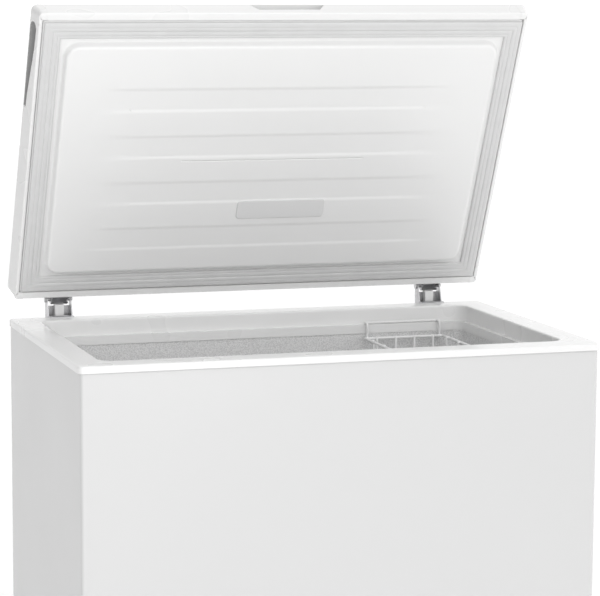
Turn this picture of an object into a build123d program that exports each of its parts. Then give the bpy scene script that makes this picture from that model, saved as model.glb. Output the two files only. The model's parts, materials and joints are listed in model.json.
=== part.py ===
from build123d import *
import os
from math import cos, radians, sin

# A chest freezer standing on the floor with its lid held open by two sprung hinges.
# The origin is on the floor under the middle of the cabinet's rim. +X is to the right as
# seen from the front, +Y points to the rear and +Z up. All sizes are in millimetres.

# ---- driving dimensions ----
CABINET_WIDTH = 1000.0  # over the plastic rim
CABINET_DEPTH = 620.0  # over the plastic rim
CABINET_HEIGHT = 803.0  # floor to the rim's flat top
FOOT_HEIGHT = 12.0
SHEET = 1.0  # painted steel and aluminium sheet
TRAY_SHEET = 1.2
PLASTIC = 2.5  # moulded walls
BODY_INSET = 4.0  # how far the steel body stands inside the rim

RIM_FACE = 13.0  # height of the rim's outer face
RIM_LAND = 53.0  # width of the flat top that the gasket meets
RIM_DROP = 32.0  # from the flat top down to the basket ledge
RIM_CORNER = 10.0
OPENING_CORNER = 28.0
LEDGE_WIDTH = 10.0
LIP_HEIGHT = 18.0
LIP_CORNER = 18.0

WALL = 59.0  # insulated wall and floor
STEP_X = 200.0  # left face of the raised floor over the compressor
STEP_HEIGHT = 340.0
BAY_X = 250.0  # the compressor bay runs from here to the right wall
BAY_HEIGHT = 290.0

LID_GAP = 5.6  # rim top to the closed lid's lowest edge
LID_THICKNESS = 41.4
LID_WIDTH = 996.0
LID_OVERHANG = 4.0  # how far the closed lid reaches past the rim in front
LID_CORNER = 12.0
LID_OPEN = 65.5  # degrees from closed to where the lid stands
LID_FULL = 80.5  # degrees from closed to the end of the hinge's travel
BORDER = 15.0  # inner border of the lid's edge mouldings
GASKET_INSET = 19.0
GASKET_WIDTH = 33.0
PLATEAU_INSET = 62.0
PLATEAU_RISE = 15.0
PLATEAU_CORNER = 26.0
LAMP_SIZE = (183.0, 42.0, 8.0)
LAMP_AT = (30.0, 110.0)

HINGE_X = 395.0
HINGE_BEHIND = 20.0  # hinge axis behind the rim
HINGE_ABOVE = 33.0  # hinge axis above the rim's top
PIN_RADIUS = 4.0
RUNNING = 0.05  # radial clearance of a turning fit

WIRE = 2.5  # radius of the basket's wires
FRAME_WIRE = 3.0
WELD = 0.3  # how far welded wires sink into each other
BASKET_X = 308.0
BASKET_WIDTH = 176.0
BASKET_DEPTH = 470.0
BASKET_HEIGHT = 208.0
BASKET_DROP = 27.0  # ledge to the middle of the basket's top wire

# ---- derived planes and outlines ----
FRONT = -CABINET_DEPTH / 2 + BODY_INSET
BACK = CABINET_DEPTH / 2
SIDE = CABINET_WIDTH / 2 - BODY_INSET
MIDDLE = (FRONT + BACK - SHEET) / 2  # middle of the steel wrap, front to rear
RIM_UNDER = CABINET_HEIGHT - RIM_FACE
LEDGE_Z = CABINET_HEIGHT - RIM_DROP
LEDGE_UNDER = LEDGE_Z - PLASTIC
BODY_TOP = CABINET_HEIGHT - 5
TRAY_TOP = FOOT_HEIGHT + TRAY_SHEET
CAVITY_FLOOR = TRAY_TOP + WALL + SHEET

LID_DEPTH = CABINET_DEPTH + LID_OVERHANG
LID_Y = -LID_OVERHANG / 2
LID_UNDER = CABINET_HEIGHT + LID_GAP
LID_TOP = LID_UNDER + LID_THICKNESS
LID_FRONT = LID_Y - LID_DEPTH / 2
SEAT_Z = LID_UNDER + 3.4  # underside of the lid liner's flange, where the gasket hangs
PLATEAU_Z = SEAT_Z - PLATEAU_RISE
SKIN_Z = LID_TOP - PLASTIC - SHEET

HINGE_Y = BACK + HINGE_BEHIND
HINGE_Z = CABINET_HEIGHT + HINGE_ABOVE
HINGE_AXIS = Axis((0, HINGE_Y, HINGE_Z), (1, 0, 0))

os.makedirs("parts", exist_ok=True)


def finish(piece, name, turn=0.0):
    """Label a finished piece and write it, after turning it about the lid's hinge axis."""
    if turn:
        piece = piece.rotate(HINGE_AXIS, turn)
    piece.label = name
    export_step(piece, f"parts/{name}.step")


def inset(outline, margin):
    """A rounded rectangle (width, depth, corner) drawn in by a margin on every side."""
    width, depth, corner = outline
    return width - 2 * margin, depth - 2 * margin, max(corner - margin, 1.0)


def ring(z, height, outer, inner, y=0.0):
    """Add a frame between two rounded rectangles, from z upwards, centred at y."""
    with BuildSketch(Plane.XY.offset(z)) as outline:
        with Locations((0, y)):
            RectangleRounded(*outer)
            RectangleRounded(*inner, mode=Mode.SUBTRACT)
    extrude(outline.sketch, amount=height)


def slab(z, height, size, y=0.0, mode=Mode.ADD):
    """Add or cut a rounded rectangle (width, depth, corner), from z upwards, centred at y."""
    with BuildSketch(Plane.XY.offset(z)) as outline:
        with Locations((0, y)):
            RectangleRounded(*size)
    extrude(outline.sketch, amount=height, mode=mode)


def block(low, high, mode=Mode.ADD):
    """Add or cut a box between two opposite corners."""
    size = [b - a for a, b in zip(low, high)]
    with Locations(tuple((a + b) / 2 for a, b in zip(low, high))):
        Box(*size, mode=mode)


def front_rod(spots, radius, y_from, y_to, mode=Mode.ADD):
    """Add or cut round rods along Y at each (x, z) of spots."""
    with BuildSketch(Plane.XZ.offset(-y_from)) as sections:
        with Locations(*spots):
            Circle(radius)
    extrude(sections.sketch, amount=y_from - y_to, mode=mode)


def tube(points, bends, radius):
    """A round bar along straight runs joined by tangent arcs."""
    with BuildPart() as bar:
        with BuildLine() as path:
            FilletPolyline(*points, radius=bends)
        with BuildSketch(Plane(path.line @ 0, z_dir=path.line % 0)):
            Circle(radius)
        sweep(path=path.line)
    return bar.part


def rear_screws(spots, y, shank, length):
    """Pan-head screws driven forwards into a face at y, one at each (x, z) of spots."""
    with BuildPart() as screws:
        front_rod(spots, shank, y, y - length)
        front_rod(spots, 2 * shank, y + 1.2 * shank, y)
        rims = screws.faces().filter_by(Axis.Y).sort_by(Axis.Y)[-len(spots):]
        fillet(rims.edges(), radius=0.7 * shank)
    return screws.part


RIM = (CABINET_WIDTH, CABINET_DEPTH, RIM_CORNER)
OPENING = (*[side - 2 * RIM_LAND for side in RIM[:2]], OPENING_CORNER)
LIP = (*[side - 2 * LEDGE_WIDTH for side in OPENING[:2]], LIP_CORNER)
CAVITY = inset(LIP, -PLASTIC)
LID = (LID_WIDTH, LID_DEPTH, LID_CORNER)


# ==== cabinet shell ====
BEZEL_AT = (372.0, 205.0)
BEZEL_SIZE = (200.0, 44.0)
GRILLE_AT = (372.0, 110.0)
GRILLE_SIZE = (200.0, 110.0)
WINDOW_MARGIN = 6.0
DRAIN_X = -380.0
DRAIN_Y = -185.0
DRAIN_Z = 44.0
DRAIN_RADIUS = 11.0
FOOT_SPOTS = [(-430, -260), (430, -260), (-430, 262), (430, 262)]
COVER_AT = (372.0, 155.0)
COVER_SIZE = (226.0, 244.0)
HINGE_SCREW_SPOTS = [
    (side * HINGE_X + dx, z) for side in (-1, 1) for dx in (-33.5, 33.5) for z in (680, 765)
]
COVER_SCREW_SPOTS = [
    (COVER_AT[0] + dx, COVER_AT[1] + dz) for dx in (-107, 107) for dz in (-112, 112)
]

with BuildPart() as cabinet_wrap:
    with BuildSketch(Plane.XY.offset(FOOT_HEIGHT)) as wrap_outline:
        with Locations((0, MIDDLE)):
            Rectangle(2 * SIDE, BACK - SHEET - FRONT)
        fillet(wrap_outline.vertices().group_by(Axis.Y)[0], radius=6)
    extrude(amount=BODY_TOP - FOOT_HEIGHT)
    with BuildSketch(Plane.XY.offset(FOOT_HEIGHT)) as wrap_inside:
        with Locations((0, MIDDLE)):
            Rectangle(2 * (SIDE - SHEET), BACK - 3 * SHEET - FRONT)
        fillet(wrap_inside.vertices().group_by(Axis.Y)[0], radius=5)
        with Locations((0, BACK - 1.5 * SHEET)):
            Rectangle(2 * (SIDE - 12), 3 * SHEET)
    extrude(amount=BODY_TOP - FOOT_HEIGHT, mode=Mode.SUBTRACT)
    with BuildSketch(Plane.XZ.offset(-FRONT)):
        for spot, size in ((BEZEL_AT, BEZEL_SIZE), (GRILLE_AT, GRILLE_SIZE)):
            with Locations(spot):
                Rectangle(*[side - 2 * WINDOW_MARGIN for side in size])
        with Locations((DRAIN_X, DRAIN_Z)):
            Circle(DRAIN_RADIUS + 0.3)
    extrude(amount=-4 * SHEET, mode=Mode.SUBTRACT)
    # the rear corners stop under the rim's skirt
    block((-SIDE, BACK - 16, RIM_UNDER - 0.5), (SIDE, BACK, BODY_TOP), Mode.SUBTRACT)
finish(cabinet_wrap.part, "cabinet_wrap")

with BuildPart() as rear_panel:
    block((-SIDE, BACK - SHEET, FOOT_HEIGHT), (SIDE, BACK, RIM_UNDER - 0.5))
    with BuildSketch(Plane.XZ.offset(-BACK)):
        with Locations(COVER_AT):
            Rectangle(COVER_SIZE[0] - 26, COVER_SIZE[1] - 34)
    extrude(amount=2 * SHEET, mode=Mode.SUBTRACT)
    front_rod(HINGE_SCREW_SPOTS + COVER_SCREW_SPOTS, 2.55, BACK, BACK - SHEET, Mode.SUBTRACT)
finish(rear_panel.part, "rear_panel")

TRAY = (2 * (SIDE - SHEET) - 0.4, BACK - 3 * SHEET - FRONT - 0.4, 5.0)
with BuildPart() as base_tray:
    slab(FOOT_HEIGHT, 20, TRAY, MIDDLE)
    slab(TRAY_TOP, 20, inset(TRAY, TRAY_SHEET), MIDDLE, Mode.SUBTRACT)
    with Locations(*[(*spot, FOOT_HEIGHT) for spot in FOOT_SPOTS]):
        Cylinder(4, 10, mode=Mode.SUBTRACT)
    with BuildSketch(Plane.XY.offset(FOOT_HEIGHT)):
        with Locations((372, -130)):
            with GridLocations(0, 22, 1, 6):
                SlotOverall(150, 9)
    extrude(amount=TRAY_SHEET, mode=Mode.SUBTRACT)
finish(base_tray.part, "base_tray")

with BuildPart() as feet:
    with Locations(*[(*spot, 0) for spot in FOOT_SPOTS]):
        Cone(19, 24, FOOT_HEIGHT, align=(Align.CENTER, Align.CENTER, Align.MIN))
    fillet(feet.edges().group_by(Axis.Z)[0], radius=2)
    with Locations(*[(*spot, FOOT_HEIGHT) for spot in FOOT_SPOTS]):
        Cylinder(3.95, TRAY_SHEET, align=(Align.CENTER, Align.CENTER, Align.MIN))
finish(feet.part, "feet")

with BuildPart() as top_frame:
    ring(CABINET_HEIGHT - PLASTIC, PLASTIC, RIM, OPENING)
    ring(RIM_UNDER, RIM_FACE, RIM, inset(RIM, PLASTIC))
    ring(LEDGE_UNDER, RIM_DROP + PLASTIC, inset(OPENING, -PLASTIC), OPENING)
    ring(LEDGE_UNDER, PLASTIC, inset(OPENING, -PLASTIC), LIP)
    ring(LEDGE_Z - LIP_HEIGHT, LIP_HEIGHT, inset(LIP, -PLASTIC), LIP)
    land = top_frame.faces().sort_by(Axis.Z)[-1]
    fillet(land.edges(), radius=3.5)
finish(top_frame.part, "top_frame")


def cavity(margin, top):
    """The cold space with its raised floor, drawn out by a margin on all sides but the top."""
    half = CAVITY[0] / 2 + margin
    depth = CAVITY[1] + 2 * margin
    floor = CAVITY_FLOOR - margin
    with BuildPart() as space:
        with BuildSketch(Plane.XZ.offset(-depth / 2)):
            with BuildLine():
                Polyline(
                    (-half, floor),
                    (STEP_X + margin, floor),
                    (STEP_X + margin, STEP_HEIGHT - margin),
                    (half, STEP_HEIGHT - margin),
                    (half, top),
                    (-half, top),
                    close=True,
                )
            make_face()
        extrude(amount=depth)
        fillet(space.edges().filter_by(Axis.Z), radius=CAVITY[2] + margin)
        fillet(space.faces().sort_by(Axis.Z)[0].edges(), radius=8 + margin)
    return space.part


LINER_TOP = LEDGE_UNDER - 0.3
liner_outside = cavity(SHEET, LINER_TOP)
liner_inside = cavity(0, LINER_TOP + 5)
with BuildPart() as inner_liner:
    add(liner_outside)
    add(liner_inside, mode=Mode.SUBTRACT)
    with Locations((DRAIN_X, DRAIN_Y, CAVITY_FLOOR)):
        Cylinder(DRAIN_RADIUS, 10, mode=Mode.SUBTRACT)
finish(inner_liner.part, "inner_liner")


# ==== refrigerant tubes foamed into the walls ====
def wall_serpentine(half_width, half_depth, y, turn_x, levels, bend, radius):
    """A tube that runs round the front, left and rear walls and back, level by level."""
    points = []
    for number, z in enumerate(levels):
        run = [(turn_x, -half_depth + y, z), (-half_width, -half_depth + y, z)]
        run += [(-half_width, half_depth + y, z), (turn_x, half_depth + y, z)]
        points += run if number % 2 == 0 else run[::-1]
    return tube(points, bend, radius)


EVAPORATOR_RADIUS = 4.0
EVAPORATOR_OFFSET = SHEET + EVAPORATOR_RADIUS + 0.4
evaporator_tube = wall_serpentine(
    CAVITY[0] / 2 + EVAPORATOR_OFFSET,
    CAVITY[1] / 2 + EVAPORATOR_OFFSET,
    0,
    CAVITY[0] / 2 - 30,
    [720 - 70 * level for level in range(6)],
    26,
    EVAPORATOR_RADIUS,
)
finish(evaporator_tube, "evaporator_tube")

CONDENSER_RADIUS = 2.4
CONDENSER_OFFSET = CONDENSER_RADIUS + 0.6
condenser_tube = wall_serpentine(
    SIDE - SHEET - CONDENSER_OFFSET,
    (BACK - 3 * SHEET - FRONT) / 2 - CONDENSER_OFFSET,
    MIDDLE,
    440,
    [735 - 78 * level for level in range(6)],
    20,
    CONDENSER_RADIUS,
)
finish(condenser_tube, "condenser_tube")

# ==== defrost drain ====
DRAIN_LIP = 1.5
drain_route = [
    (DRAIN_X, DRAIN_Y, CAVITY_FLOOR),
    (DRAIN_X, DRAIN_Y, DRAIN_Z),
    (DRAIN_X, FRONT - 7, DRAIN_Z),
]
drain_outside = tube(drain_route, 14, DRAIN_RADIUS)
drain_bore = tube(drain_route, 14, DRAIN_RADIUS - 2)
with BuildPart() as drain_tube:
    add(drain_outside)
    with Locations((DRAIN_X, DRAIN_Y, CAVITY_FLOOR)):
        Cylinder(17, DRAIN_LIP, align=(Align.CENTER, Align.CENTER, Align.MIN))
    add(drain_bore, mode=Mode.SUBTRACT)
    with Locations((DRAIN_X, DRAIN_Y, CAVITY_FLOOR)):
        Cylinder(DRAIN_RADIUS - 2, 10, mode=Mode.SUBTRACT)
finish(drain_tube.part, "drain_tube")

with BuildPart() as drain_plug:
    with Locations((DRAIN_X, DRAIN_Y, CAVITY_FLOOR + DRAIN_LIP + 0.1)):
        Cylinder(15, 3, align=(Align.CENTER, Align.CENTER, Align.MIN))
        Cone(7.5, 8.6, 14, align=(Align.CENTER, Align.CENTER, Align.MAX))
    with BuildSketch(Plane.XZ.offset(-DRAIN_Y)):
        with Locations((DRAIN_X, CAVITY_FLOOR + DRAIN_LIP + 9)):
            Circle(9)
            Circle(5.5, mode=Mode.SUBTRACT)
        with Locations((DRAIN_X, CAVITY_FLOOR - 10)):
            Rectangle(40, 24, mode=Mode.SUBTRACT)
    extrude(amount=1.8, both=True)
finish(drain_plug.part, "drain_plug")

CAP_BACK = FRONT - 0.6
with BuildPart() as drain_cap:
    front_rod([(DRAIN_X, DRAIN_Z)], 15, CAP_BACK, CAP_BACK - 11)
    fillet(drain_cap.faces().sort_by(Axis.Y)[0].edges(), radius=2)
    with BuildSketch(Plane.XZ.offset(-CAP_BACK)):
        with Locations((DRAIN_X, DRAIN_Z)):
            with PolarLocations(15, 12):
                Circle(1.4)
    extrude(amount=8)
    front_rod([(DRAIN_X, DRAIN_Z)], DRAIN_RADIUS + RUNNING, CAP_BACK, CAP_BACK - 8, Mode.SUBTRACT)
finish(drain_cap.part, "drain_cap")

# ==== foam ====
FOAM = (2 * (SIDE - SHEET), BACK - 3 * SHEET - FRONT, 5.5)
FOAM_LOW = inset(FOAM, 1.6)
HINGE_SCREW_LENGTH = 14.0
foam_core = cavity(SHEET, LEDGE_UNDER)
with BuildPart() as insulation_foam:
    slab(TRAY_TOP, 22, FOAM_LOW, MIDDLE)
    slab(TRAY_TOP + 22, LEDGE_UNDER - TRAY_TOP - 22, FOAM, MIDDLE)
    ring(LEDGE_UNDER, BODY_TOP - LEDGE_UNDER, inset(RIM, 5.2), inset(OPENING, -PLASTIC))
    add(foam_core, mode=Mode.SUBTRACT)
    block((BAY_X, FRONT, FOOT_HEIGHT), (SIDE, BACK, BAY_HEIGHT), Mode.SUBTRACT)
    add(drain_outside, mode=Mode.SUBTRACT)
    front_rod(HINGE_SCREW_SPOTS, 2.5, BACK, BACK - HINGE_SCREW_LENGTH, Mode.SUBTRACT)
finish(insulation_foam.part, "insulation_foam")

# ==== controls and grilles ====
PLATE = 3.0
KNOB_X = BEZEL_AT[0] + 62
KNOB_RADIUS = 15.0
SPINDLE_RADIUS = 3.0
LAMP_SPOTS = [(BEZEL_AT[0] + dx, BEZEL_AT[1]) for dx in (-76, -56, -36)]


def front_plate(at, size):
    """A moulded plate with a rear collar that fits a window in the front sheet."""
    with BuildSketch(Plane.XZ.offset(-FRONT)) as plate:
        with Locations(at):
            RectangleRounded(*size, 5)
    extrude(plate.sketch, amount=PLATE)
    with BuildSketch(Plane.XZ.offset(-FRONT)) as collar:
        with Locations(at):
            Rectangle(*[side - 2 * WINDOW_MARGIN - 0.4 for side in size])
            Rectangle(*[side - 2 * WINDOW_MARGIN - 4.4 for side in size], mode=Mode.SUBTRACT)
    extrude(collar.sketch, amount=-5)


with BuildPart() as control_bezel:
    front_plate(BEZEL_AT, BEZEL_SIZE)
    front_rod([(KNOB_X, BEZEL_AT[1])], SPINDLE_RADIUS + 0.5, FRONT, FRONT - PLATE, Mode.SUBTRACT)
    with BuildSketch(Plane.XZ.offset(-FRONT)):
        with Locations(*LAMP_SPOTS):
            RectangleRounded(12.2, 6.2, 1.5)
    extrude(amount=PLATE, mode=Mode.SUBTRACT)
finish(control_bezel.part, "control_bezel")

with BuildPart() as indicator_lenses:
    with BuildSketch(Plane.XZ.offset(-FRONT)):
        with Locations(*LAMP_SPOTS):
            RectangleRounded(12, 6, 1.4)
    extrude(amount=PLATE + 1)
    fillet(indicator_lenses.faces().filter_by(Axis.Y).sort_by(Axis.Y)[:3].edges(), radius=0.8)
finish(indicator_lenses.part, "indicator_lenses")

KNOB_FACE = FRONT - PLATE - 0.4
with BuildPart() as thermostat_knob:
    front_rod([(KNOB_X, BEZEL_AT[1])], KNOB_RADIUS, KNOB_FACE, KNOB_FACE - 5)
    with BuildSketch(Plane.XZ.offset(-KNOB_FACE)):
        with Locations((KNOB_X, BEZEL_AT[1])):
            SlotOverall(2 * KNOB_RADIUS - 3, 9, rotation=90)
    extrude(amount=12)
    fillet(thermostat_knob.faces().sort_by(Axis.Y)[0].edges(), radius=1.5)
    front_rod([(KNOB_X, BEZEL_AT[1])], SPINDLE_RADIUS, KNOB_FACE, KNOB_FACE - 8, Mode.SUBTRACT)
finish(thermostat_knob.part, "thermostat_knob")

with BuildPart() as thermostat_spindle:
    front_rod([(KNOB_X, BEZEL_AT[1])], SPINDLE_RADIUS, FRONT + 12, KNOB_FACE - 8)
finish(thermostat_spindle.part, "thermostat_spindle")

THERMOSTAT_LOW = (KNOB_X - 19, FRONT + 5.4, BEZEL_AT[1] - 13)
with BuildPart() as thermostat:
    block(THERMOSTAT_LOW, (KNOB_X + 19, FRONT + 40, BEZEL_AT[1] + 13))
    fillet(thermostat.edges().filter_by(Axis.Y), radius=3)
    front_rod(
        [(KNOB_X, BEZEL_AT[1])], SPINDLE_RADIUS + RUNNING, FRONT + 12, FRONT, Mode.SUBTRACT
    )
    front_rod([(KNOB_X - 8, BEZEL_AT[1])], 2, FRONT + 46, FRONT + 40)
finish(thermostat.part, "thermostat")

sensor_route = [
    (KNOB_X - 8, FRONT + 46, BEZEL_AT[1]),
    (KNOB_X - 8, FRONT + 76, BEZEL_AT[1]),
    (KNOB_X - 8, FRONT + 76, BAY_HEIGHT - 18),
    (BAY_X, FRONT + 76, BAY_HEIGHT - 18),
]
finish(tube(sensor_route, 12, 1.2), "sensor_tube")

with BuildPart() as front_grille:
    front_plate(GRILLE_AT, GRILLE_SIZE)
    with BuildSketch(Plane.XZ.offset(-FRONT)):
        with Locations(GRILLE_AT):
            with GridLocations(88, 12, 2, 7):
                SlotOverall(80, 6)
    extrude(amount=PLATE, mode=Mode.SUBTRACT)
finish(front_grille.part, "front_grille")

GLAND_AT = (COVER_AT[0] - 80, COVER_AT[1] - 84)
with BuildPart() as compressor_cover:
    with BuildSketch(Plane.XZ.offset(-BACK - TRAY_SHEET)):
        with Locations(COVER_AT):
            RectangleRounded(*COVER_SIZE, 6)
            with GridLocations(96, 16, 2, 9):
                SlotOverall(82, 7, mode=Mode.SUBTRACT)
        with Locations(GLAND_AT):
            Circle(9, mode=Mode.SUBTRACT)
        with Locations(*COVER_SCREW_SPOTS):
            Circle(2.55, mode=Mode.SUBTRACT)
    extrude(amount=TRAY_SHEET)
finish(compressor_cover.part, "compressor_cover")

COVER_SCREWS = rear_screws(COVER_SCREW_SPOTS, BACK + TRAY_SHEET, 2.5, 8)
finish(COVER_SCREWS, "cover_screws")

with BuildPart() as cord_gland:
    front_rod([GLAND_AT], 12.5, BACK + TRAY_SHEET + 4, BACK + TRAY_SHEET)
    fillet(cord_gland.faces().sort_by(Axis.Y)[-1].edges(), radius=2.5)
    front_rod([GLAND_AT], 8.95, BACK + TRAY_SHEET, BACK - 6)
    front_rod([GLAND_AT], 4, BACK + TRAY_SHEET + 4, BACK - 6, Mode.SUBTRACT)
finish(cord_gland.part, "cord_gland")

# ==== compressor bay ====
COMPRESSOR_AT = (375.0, 150.0)
SHELL_RADIUS = 68.0
PLATE_TOP = 34.0
FOOT_Z = 46.0
SHELL_TOP = 205.0
BOLT_SPOTS = [(COMPRESSOR_AT[0] + dx, COMPRESSOR_AT[1] + dy) for dx in (-85, 85) for dy in (-60, 60)]

with BuildPart() as compressor_plate:
    with BuildSketch(Plane.XZ.offset(-COMPRESSOR_AT[1] - 110)):
        with BuildLine():
            Polyline(
                (258, TRAY_TOP),
                (258, TRAY_TOP + 2),
                (270, TRAY_TOP + 2),
                (270, PLATE_TOP),
                (480, PLATE_TOP),
                (480, TRAY_TOP + 2),
                (492, TRAY_TOP + 2),
                (492, TRAY_TOP),
                (478, TRAY_TOP),
                (478, PLATE_TOP - 2),
                (272, PLATE_TOP - 2),
                (272, TRAY_TOP),
                close=True,
            )
        make_face()
    extrude(amount=220)
    with Locations(*[(*spot, PLATE_TOP) for spot in BOLT_SPOTS]):
        Cylinder(7, 10, mode=Mode.SUBTRACT)
finish(compressor_plate.part, "compressor_plate")

UP = (Align.CENTER, Align.CENTER, Align.MIN)
with BuildPart() as compressor_grommets:
    with Locations(*[(*spot, PLATE_TOP) for spot in BOLT_SPOTS]):
        Cylinder(12, FOOT_Z - PLATE_TOP, align=UP)
    fillet(compressor_grommets.edges().filter_by(GeomType.CIRCLE), radius=2)
    with Locations(*[(*spot, PLATE_TOP - 4) for spot in BOLT_SPOTS]):
        Cylinder(6.9, 4, align=UP)
        Cylinder(4.1, 30, align=UP, mode=Mode.SUBTRACT)
finish(compressor_grommets.part, "compressor_grommets")

with BuildPart() as compressor_bolts:
    for x, y in BOLT_SPOTS:
        for z, height in ((PLATE_TOP - 9, 5), (FOOT_Z + 4, 6)):
            with BuildSketch(Plane.XY.offset(z)):
                with Locations((x, y)):
                    RegularPolygon(7.5, 6)
            extrude(amount=height)
        with Locations((x, y, PLATE_TOP - 9)):
            Cylinder(4, FOOT_Z + 14 - PLATE_TOP + 9, align=UP)
finish(compressor_bolts.part, "compressor_bolts")

with BuildPart() as compressor:
    with Locations((*COMPRESSOR_AT, FOOT_Z)):
        Cylinder(SHELL_RADIUS, SHELL_TOP - FOOT_Z, align=UP)
    fillet(compressor.edges().group_by(Axis.Z)[-1], radius=30)
    fillet(compressor.edges().group_by(Axis.Z)[0], radius=14)
    with Locations((*COMPRESSOR_AT, FOOT_Z + 70)):
        Cylinder(SHELL_RADIUS + 3, 6, align=UP)
    with BuildSketch(Plane.XY.offset(FOOT_Z)):
        with Locations(COMPRESSOR_AT):
            RectangleRounded(200, 150, 18)
        with Locations(*BOLT_SPOTS):
            Circle(4.2, mode=Mode.SUBTRACT)
    extrude(amount=4)
    x, y = COMPRESSOR_AT
    with Locations(Location((x - 90, y, 150), (0, 90, 0))):
        Cylinder(4, 30, align=UP)
    with Locations(Location((x, y - 88, 100), (-90, 0, 0))):
        Cylinder(4, 30, align=UP)
    with Locations(Location((x + 30, y - 84, 100), (-90, 0, 0))):
        Cylinder(4, 40, align=UP)
finish(compressor.part, "compressor")

with BuildPart() as start_relay:
    block((x + 60, y - 26, 120), (x + 104, y + 26, 168))
    fillet(start_relay.edges().filter_by(Axis.X), radius=6)
    with Locations((x, y, 100)):
        Cylinder(SHELL_RADIUS + 3.2, 100, mode=Mode.SUBTRACT, align=UP)
finish(start_relay.part, "start_relay")

suction_route = [(x - 90, y, 150), (x - 109, y, 150), (x - 109, y, 235), (BAY_X, y, 235)]
finish(tube(suction_route, 8, 4), "suction_pipe")

discharge_route = [(x, y - 88, 100), (x, y - 120, 100), (x, y - 120, 62), (BAY_X, y - 120, 62)]
finish(tube(discharge_route, 12, 3), "discharge_pipe")

DRIER_AT = (295.0, -40.0)
DRIER_Z = (100.0, 180.0)
with BuildPart() as filter_drier:
    with BuildSketch(Plane.XZ.offset(-DRIER_AT[1])):
        with BuildLine():
            Polyline(
                (DRIER_AT[0], DRIER_Z[0] - 14),
                (DRIER_AT[0] + 3.5, DRIER_Z[0] - 14),
                (DRIER_AT[0] + 3.5, DRIER_Z[0] - 8),
                (DRIER_AT[0] + 10, DRIER_Z[0]),
                (DRIER_AT[0] + 10, DRIER_Z[1]),
                (DRIER_AT[0] + 2.5, DRIER_Z[1] + 8),
                (DRIER_AT[0] + 2.5, DRIER_Z[1] + 14),
                (DRIER_AT[0], DRIER_Z[1] + 14),
                close=True,
            )
        make_face()
    revolve(axis=Axis((*DRIER_AT, 0), (0, 0, 1)))
finish(filter_drier.part, "filter_drier")

liquid_route = [(BAY_X, DRIER_AT[1], 60), (*DRIER_AT, 60), (*DRIER_AT, DRIER_Z[0] - 14)]
finish(tube(liquid_route, 12, 2.4), "liquid_pipe")

capillary_route = [
    (*DRIER_AT, DRIER_Z[1] + 14),
    (*DRIER_AT, DRIER_Z[1] + 40),
    (DRIER_AT[0] - 22, DRIER_AT[1], DRIER_Z[1] + 40),
    (DRIER_AT[0] - 22, DRIER_AT[1], 255),
    (BAY_X, DRIER_AT[1], 255),
]
finish(tube(capillary_route, 8, 1.1), "capillary_tube")

# ==== hinges ====
CHANNEL_HALF = 25.0
CHEEK = 2.0
CHANNEL_FOOT = 640.0
CHANNEL_BACK = HINGE_Y + 8
KNUCKLE = 8.0
CAM_HIGH = 13.0  # cam radius under the pin when the lid is closed
CAM_FALL = 3.5  # how much the cam radius falls per radian of opening
CAM_REST = CAM_HIGH - CAM_FALL * radians(LID_OPEN)
CAM_GAP = 1.0
SPRING_Y = HINGE_Y - 3
PLUNGER_TOP = HINGE_Z - CAM_REST - CAM_GAP
PLUNGER_LOW = PLUNGER_TOP - 50
SPRING_RADIUS = 6.5
SPRING_WIRE = 1.0
SPRING_LOW = CHANNEL_FOOT + CHEEK
HINGE_SIDES = {"left": -HINGE_X, "right": HINGE_X}


def knuckle_plate(x, outline):
    """A cheek plate in a plane across X, with a round knuckle about the hinge axis."""
    with BuildSketch(Plane.YZ.offset(x)) as cheek:
        with BuildLine():
            Polyline(*outline, close=True)
        make_face()
        with Locations((HINGE_Y, HINGE_Z)):
            Circle(KNUCKLE)
    extrude(cheek.sketch, amount=CHEEK)


def pin_hole(x, half, radius):
    """Bore for the hinge pin, right through a piece centred at x."""
    with BuildSketch(Plane.YZ.offset(x - half)) as bore:
        with Locations((HINGE_Y, HINGE_Z)):
            Circle(radius)
    extrude(bore.sketch, amount=2 * half, mode=Mode.SUBTRACT)


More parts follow.
